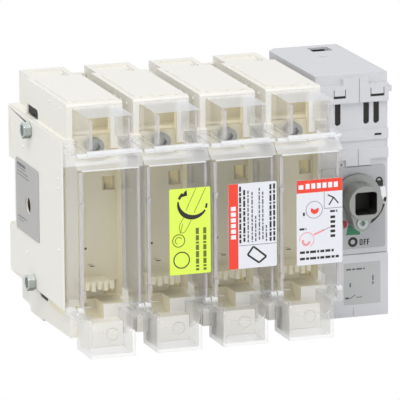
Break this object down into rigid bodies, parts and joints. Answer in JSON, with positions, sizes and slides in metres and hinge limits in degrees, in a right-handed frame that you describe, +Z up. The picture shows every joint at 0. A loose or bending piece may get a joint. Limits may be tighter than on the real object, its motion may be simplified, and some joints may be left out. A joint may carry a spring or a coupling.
{
  "type": "fuse switch disconnector",
  "caption": "Fuse switch disconnector: side-by-side poles with hinged clear fuse covers and terminal hoods, switched by a shaft-driven mechanism at the right-hand end.",
  "frame": {"origin": "centre of the four panel holes, on the back plane", "axes": "+X along the row of poles to the mechanism, -Y out of the front, +Z up"},
  "size_m": [0.1913, 0.1238, 0.131],
  "materials": {
    "housing": "moulded, satin",
    "clear_plastic": "clear, slightly grey",
    "plated_copper": "tin plated copper",
    "rotor_plastic": "moulded",
    "steel": "bright",
    "zinc_plated_steel": "zinc plated",
    "label_grey": "printed label, left blank",
    "mechanism_plastic": "moulded, satin",
    "fascia": "satin sheet",
    "zinc_casting": "zinc alloy casting, matt",
    "sticker_lime": "gloss label",
    "sticker_white": "gloss label"
  },
  "bodies": {
    "frame": {"pole_base_1": "housing", "pole_base_2": "housing", "pole_base_3": "housing", "pole_base_4": "housing", "terminal_hood_1": "clear_plastic", "terminal_hood_2": "clear_plastic", "terminal_hood_3": "clear_plastic", "terminal_hood_4": "clear_plastic", "terminal_shroud_1": "clear_plastic", "terminal_shroud_2": "clear_plastic", "terminal_shroud_3": "clear_plastic", "terminal_shroud_4": "clear_plastic", "upper_terminal_1": "plated_copper", "upper_terminal_2": "plated_copper", "upper_terminal_3": "plated_copper", "upper_terminal_4": "plated_copper", "lower_terminal_1": "plated_copper", "lower_terminal_2": "plated_copper", "lower_terminal_3": "plated_copper", "lower_terminal_4": "plated_copper", "upper_fuse_clip_1": "plated_copper", "upper_fuse_clip_2": "plated_copper", "upper_fuse_clip_3": "plated_copper", "upper_fuse_clip_4": "plated_copper", "lower_fuse_clip_1": "plated_copper", "lower_fuse_clip_2": "plated_copper", "lower_fuse_clip_3": "plated_copper", "lower_fuse_clip_4": "plated_copper", "terminal_screws": "steel", "end_plate": "housing", "tie_rods": "steel", "tie_nuts": "zinc_plated_steel", "data_label": "label_grey", "mechanism_case": "mechanism_plastic", "mechanism_front": "mechanism_plastic", "contact_cap": "mechanism_plastic", "lower_front_cover": "mechanism_plastic", "fascia_plate": "fascia"},
    "cover_1": {"fuse_cover_1": "clear_plastic"},
    "cover_2": {"fuse_cover_2": "clear_plastic", "sticker_lime": "sticker_lime"},
    "cover_3": {"fuse_cover_3": "clear_plastic", "sticker_side_band": "sticker_white"},
    "cover_4": {"fuse_cover_4": "clear_plastic", "sticker_top_band": "sticker_white"},
    "switch_bar": {"switching_bar": "steel", "drive_crank": "steel", "moving_contacts": "plated_copper", "contact_rotor_1": "rotor_plastic", "contact_rotor_2": "rotor_plastic", "contact_rotor_3": "rotor_plastic", "contact_rotor_4": "rotor_plastic"},
    "coupling": {"drive_shaft": "steel", "shaft_coupling": "zinc_casting", "coupling_screw": "zinc_casting"}
  },
  "joints": [
    {"name": "cover_1_hinge", "type": "hinge", "parent": "frame", "child": "cover_1", "pos_m": [-0.054, -0.1187, -0.0391], "axis": [1, 0, 0], "range_deg": [0, 90]},
    {"name": "cover_2_hinge", "type": "hinge", "parent": "frame", "child": "cover_2", "pos_m": [-0.018, -0.1187, -0.0391], "axis": [1, 0, 0], "range_deg": [0, 90]},
    {"name": "cover_3_hinge", "type": "hinge", "parent": "frame", "child": "cover_3", "pos_m": [0.018, -0.1187, -0.0391], "axis": [1, 0, 0], "range_deg": [0, 90]},
    {"name": "cover_4_hinge", "type": "hinge", "parent": "frame", "child": "cover_4", "pos_m": [0.054, -0.1187, -0.0391], "axis": [1, 0, 0], "range_deg": [0, 90]},
    {"name": "coupling_turn", "type": "hinge", "parent": "frame", "child": "coupling", "pos_m": [0.094, -0.08, 0], "axis": [0, 1, 0], "range_deg": [0, 90]},
    {"name": "bar_turn", "type": "hinge", "parent": "frame", "child": "switch_bar", "pos_m": [0, -0.038, 0], "axis": [1, 0, 0], "range_deg": [0, 30]}
  ],
  "couplings": [
    {"joint": "bar_turn", "follows": "coupling_turn", "ratio": 0.33333}
  ]
}
